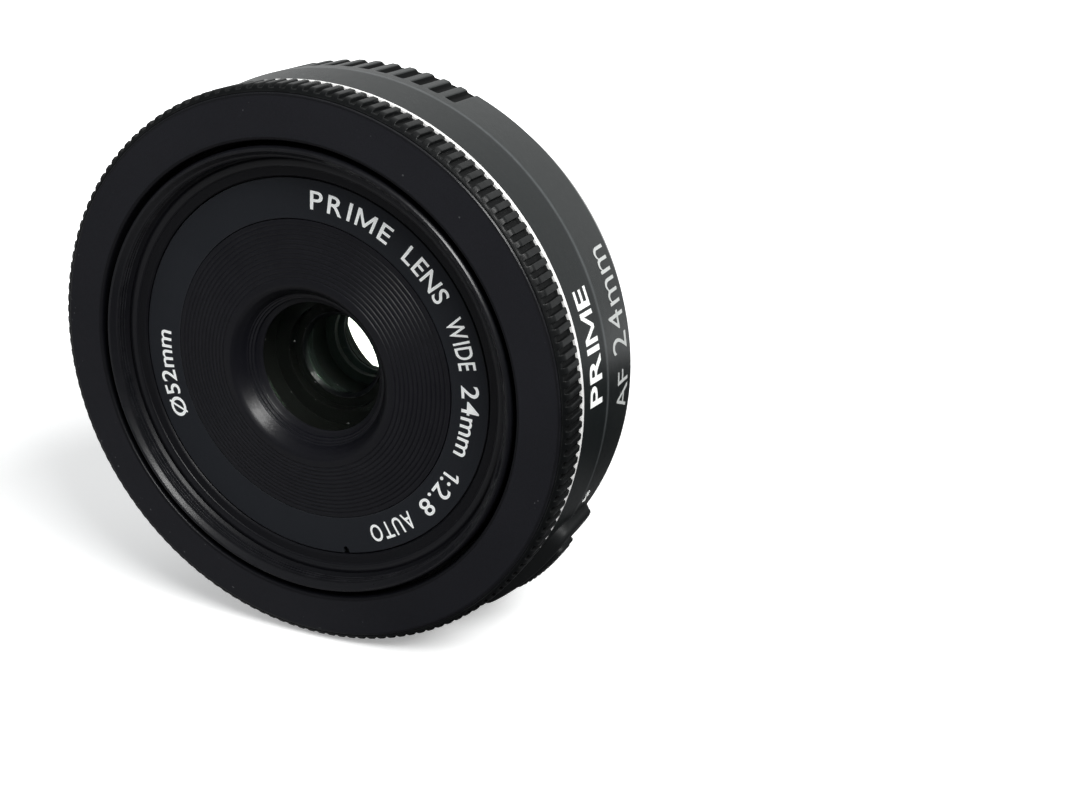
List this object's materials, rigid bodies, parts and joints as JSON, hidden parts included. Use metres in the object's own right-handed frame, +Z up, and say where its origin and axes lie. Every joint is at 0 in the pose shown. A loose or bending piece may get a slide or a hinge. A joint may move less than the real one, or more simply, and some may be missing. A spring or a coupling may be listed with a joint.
{
  "type": "prime camera lens",
  "caption": "Flat pancake prime lens with knurled focus ring, extending front barrel, coated glass, iris and a three-lug bayonet mount.",
  "frame": {"origin": "on the optical axis, half way between the front rim and the contact pin tips with the lens retracted, 7.7 mm in front of the mounting flange plane", "axes": "optical axis along Y, subject side towards -Y, camera side towards +Y; +Z up with the lens standing on its rim; the top of the lens as worn on a camera is 8.4 degrees above +X"},
  "size_m": [0.0682, 0.0302, 0.0682],
  "materials": {
    "barrel_plastic": "fine grained charcoal moulded plastic",
    "trim_plastic": "satin black moulded plastic",
    "ring_plastic": "matte black moulded plastic with a knurled edge",
    "front_plastic": "matte black, anti-reflection grooved",
    "silver_trim": "bright satin trim ring",
    "mount_metal": "brushed, plated bayonet",
    "steel": "plain steel",
    "rear_plastic": "matte black moulded plastic",
    "contact_gold": "gold plated",
    "board": "green solder mask",
    "flex_film": "amber polyimide film",
    "sensor_plastic": "black moulded package",
    "inner_plastic": "matte black glass-filled plastic",
    "gear_plastic": "natural acetal",
    "pinion_brass": "turned brass",
    "blade_metal": "black coated thin sheet",
    "optical_glass": "coated optical glass with a faint green and magenta reflection"
  },
  "bodies": {
    "lens_body": {"main_barrel": "barrel_plastic", "mount_flange": "mount_metal", "mount_screw_1": "steel", "mount_screw_2": "steel", "mount_screw_3": "steel", "mount_screw_4": "steel", "silver_ring": "silver_trim", "switch_base": "trim_plastic", "focus_ring_bearing": "inner_plastic", "focus_ring_sensor": "sensor_plastic", "cam_housing": "inner_plastic", "guide_barrel": "inner_plastic", "idler_axle": "steel", "motor_bracket": "steel", "focus_motor": "steel", "circuit_board": "board", "rear_shroud": "rear_plastic", "contact_block": "rear_plastic", "contact_pin_1": "contact_gold", "contact_pin_2": "contact_gold", "contact_pin_3": "contact_gold", "contact_pin_4": "contact_gold", "contact_pin_5": "contact_gold", "contact_pin_6": "contact_gold", "contact_pin_7": "contact_gold", "flex_cable": "flex_film"},
    "focus_ring": {"focus_ring": "ring_plastic", "encoder_ring": "steel"},
    "mode_switch": {"switch_knob": "trim_plastic"},
    "cam_ring": {"cam_ring": "inner_plastic"},
    "idler_gear": {"idler_gear": "gear_plastic"},
    "motor_pinion": {"motor_pinion": "pinion_brass"},
    "focusing_unit": {"filter_barrel": "front_plastic", "guide_roller_1": "steel", "guide_roller_2": "steel", "guide_roller_3": "steel", "name_ring": "front_plastic", "front_baffle": "front_plastic", "lens_1_front_meniscus": "optical_glass", "lens_2_positive": "optical_glass", "lens_3_negative": "optical_glass", "lens_4_positive": "optical_glass", "lens_5_aspheric": "optical_glass", "lens_6_rear_positive": "optical_glass", "front_lens_cell": "inner_plastic", "rear_lens_cell": "inner_plastic", "rear_retaining_ring": "inner_plastic", "iris_base": "inner_plastic", "iris_cover": "inner_plastic", "iris_motor": "steel"},
    "iris_ring": {"iris_ring": "blade_metal"},
    "iris_pinion": {"iris_pinion": "pinion_brass"},
    "iris_blade_1": {"iris_blade_1": "blade_metal"},
    "iris_blade_2": {"iris_blade_2": "blade_metal"},
    "iris_blade_3": {"iris_blade_3": "blade_metal"},
    "iris_blade_4": {"iris_blade_4": "blade_metal"},
    "iris_blade_5": {"iris_blade_5": "blade_metal"},
    "iris_blade_6": {"iris_blade_6": "blade_metal"},
    "iris_blade_7": {"iris_blade_7": "blade_metal"}
  },
  "joints": [
    {"name": "focus_ring_turn", "type": "hinge", "parent": "lens_body", "child": "focus_ring", "pos_m": [0, 0, 0], "axis": [0, -1, 0], "continuous": true},
    {"name": "mode_switch_slide", "type": "hinge", "parent": "lens_body", "child": "mode_switch", "pos_m": [0, 0, 0], "axis": [0, -1, 0], "range_deg": [-5, 0]},
    {"name": "cam_ring_turn", "type": "hinge", "parent": "lens_body", "child": "cam_ring", "pos_m": [0, 0, 0], "axis": [0, -1, 0], "range_deg": [0, 75.01]},
    {"name": "idler_gear_turn", "type": "hinge", "parent": "lens_body", "child": "idler_gear", "pos_m": [0.01912, 0.0034, -0.00983], "axis": [0, -1, 0], "range_deg": [0, 343.8]},
    {"name": "motor_pinion_turn", "type": "hinge", "parent": "lens_body", "child": "motor_pinion", "pos_m": [0.0113, 0.0034, -0.01427], "axis": [0, -1, 0], "range_deg": [-687.6, 0]},
    {"name": "focus_extension", "type": "slide", "parent": "lens_body", "child": "focusing_unit", "axis": [0, -1, 0], "range_m": [0, 0.0065]},
    {"name": "iris_ring_turn", "type": "hinge", "parent": "focusing_unit", "child": "iris_ring", "pos_m": [0, 0, 0], "axis": [0, -1, 0], "range_deg": [0, 24]},
    {"name": "iris_pinion_turn", "type": "hinge", "parent": "focusing_unit", "child": "iris_pinion", "pos_m": [-0.00745, 0.0028, 0.0094], "axis": [0, -1, 0], "range_deg": [-168.1, 0]},
    {"name": "iris_blade_1_swing", "type": "hinge", "parent": "focusing_unit", "child": "iris_blade_1", "pos_m": [0.00821, 0.0037, 0.00121], "axis": [0, -1, 0], "range_deg": [0, 30.02]},
    {"name": "iris_blade_2_swing", "type": "hinge", "parent": "focusing_unit", "child": "iris_blade_2", "pos_m": [0.00417, 0.0037, 0.00718], "axis": [0, -1, 0], "range_deg": [0, 30.02]},
    {"name": "iris_blade_3_swing", "type": "hinge", "parent": "focusing_unit", "child": "iris_blade_3", "pos_m": [-0.00301, 0.0037, 0.00774], "axis": [0, -1, 0], "range_deg": [0, 30.02]},
    {"name": "iris_blade_4_swing", "type": "hinge", "parent": "focusing_unit", "child": "iris_blade_4", "pos_m": [-0.00792, 0.0037, 0.00247], "axis": [0, -1, 0], "range_deg": [0, 30.02]},
    {"name": "iris_blade_5_swing", "type": "hinge", "parent": "focusing_unit", "child": "iris_blade_5", "pos_m": [-0.00687, 0.0037, -0.00466], "axis": [0, -1, 0], "range_deg": [0, 30.02]},
    {"name": "iris_blade_6_swing", "type": "hinge", "parent": "focusing_unit", "child": "iris_blade_6", "pos_m": [-0.00064, 0.0037, -0.00827], "axis": [0, -1, 0], "range_deg": [0, 30.02]},
    {"name": "iris_blade_7_swing", "type": "hinge", "parent": "focusing_unit", "child": "iris_blade_7", "pos_m": [0.00607, 0.0037, -0.00566], "axis": [0, -1, 0], "range_deg": [0, 30.02]}
  ],
  "couplings": [
    {"joint": "cam_ring_turn", "follows": "focus_extension", "rad_per_m": 201.38},
    {"joint": "idler_gear_turn", "follows": "focus_extension", "rad_per_m": 923.01},
    {"joint": "motor_pinion_turn", "follows": "focus_extension", "rad_per_m": -1846},
    {"joint": "iris_pinion_turn", "follows": "iris_ring_turn", "ratio": -7},
    {"joint": "iris_blade_1_swing", "follows": "iris_ring_turn", "ratio": 1.25},
    {"joint": "iris_blade_2_swing", "follows": "iris_ring_turn", "ratio": 1.25},
    {"joint": "iris_blade_3_swing", "follows": "iris_ring_turn", "ratio": 1.25},
    {"joint": "iris_blade_4_swing", "follows": "iris_ring_turn", "ratio": 1.25},
    {"joint": "iris_blade_5_swing", "follows": "iris_ring_turn", "ratio": 1.25},
    {"joint": "iris_blade_6_swing", "follows": "iris_ring_turn", "ratio": 1.25},
    {"joint": "iris_blade_7_swing", "follows": "iris_ring_turn", "ratio": 1.25}
  ]
}
